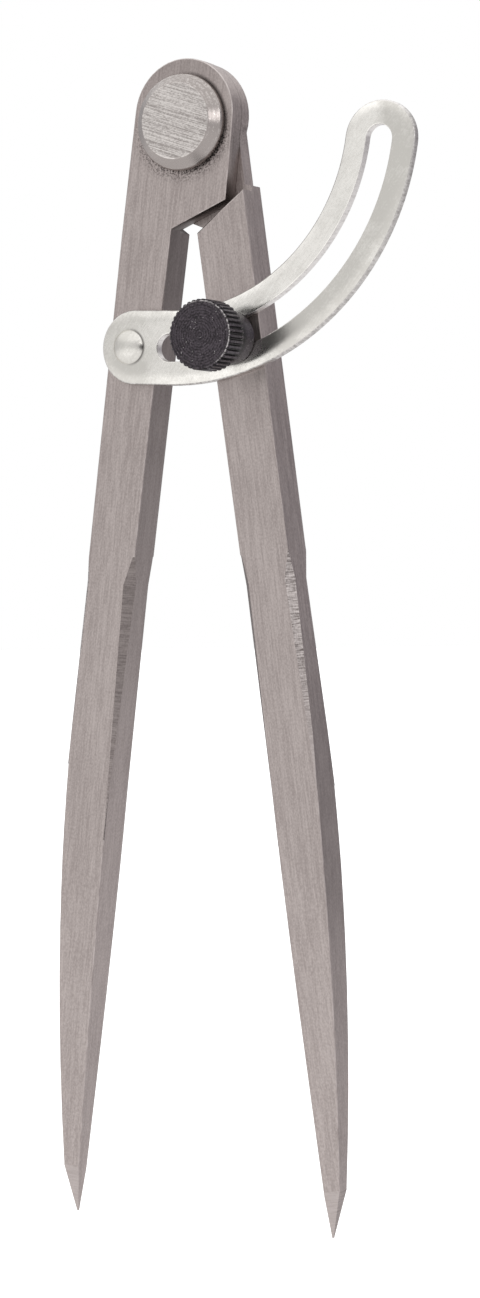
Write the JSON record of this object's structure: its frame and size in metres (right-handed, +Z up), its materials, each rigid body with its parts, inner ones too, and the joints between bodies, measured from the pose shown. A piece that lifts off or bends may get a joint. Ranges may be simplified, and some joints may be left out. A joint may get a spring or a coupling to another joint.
{
  "type": "wing divider",
  "caption": "Steel wing divider: flat tapered legs on a riveted half-lap hinge, with a slotted setting arc and a knurled clamp knob to hold the opening.",
  "frame": {"origin": "on the hinge axis, at the middle of the legs' thickness", "axes": "+Z up along the tool from the points to the hinge, +Y to the rear along the hinge axis, +X to the right as seen from the front, where the knob is"},
  "size_m": [0.0714, 0.0222, 0.1995],
  "materials": {
    "leg_steel": "fine lengthwise grinding, satin, uncoated",
    "rivet_steel": "turned and faced, brushed across the flat",
    "bright_plating": "bright zinc or nickel plate with softened edges, half mirror",
    "stud_steel": "plain machined",
    "black_oxide": "black oxide over straight knurling, worn bright at the rim"
  },
  "bodies": {
    "left_side": {"left_leg": "leg_steel", "setting_arc": "bright_plating", "arc_rivet": "bright_plating", "pivot_rivet": "rivet_steel", "pivot_washer": "rivet_steel"},
    "right_side": {"right_leg": "leg_steel"},
    "stud": {"clamp_stud": "stud_steel"},
    "knob": {"clamp_knob": "black_oxide"}
  },
  "joints": [
    {"name": "leg_hinge", "type": "hinge", "parent": "left_side", "child": "right_side", "pos_m": [0, 0, 0], "axis": [0, -1, 0], "range_deg": [-15.1, 66.3]},
    {"name": "clamp_travel", "type": "slide", "parent": "right_side", "child": "stud", "axis": [0, -1, 0], "range_m": [0, 0.00141]},
    {"name": "knob_spin", "type": "hinge", "parent": "stud", "child": "knob", "pos_m": [0.00998, 0, -0.03716], "axis": [0, -1, 0], "range_deg": [0, 720]}
  ],
  "couplings": [
    {"joint": "clamp_travel", "follows": "knob_spin", "m_per_rad": 0.0001114}
  ]
}
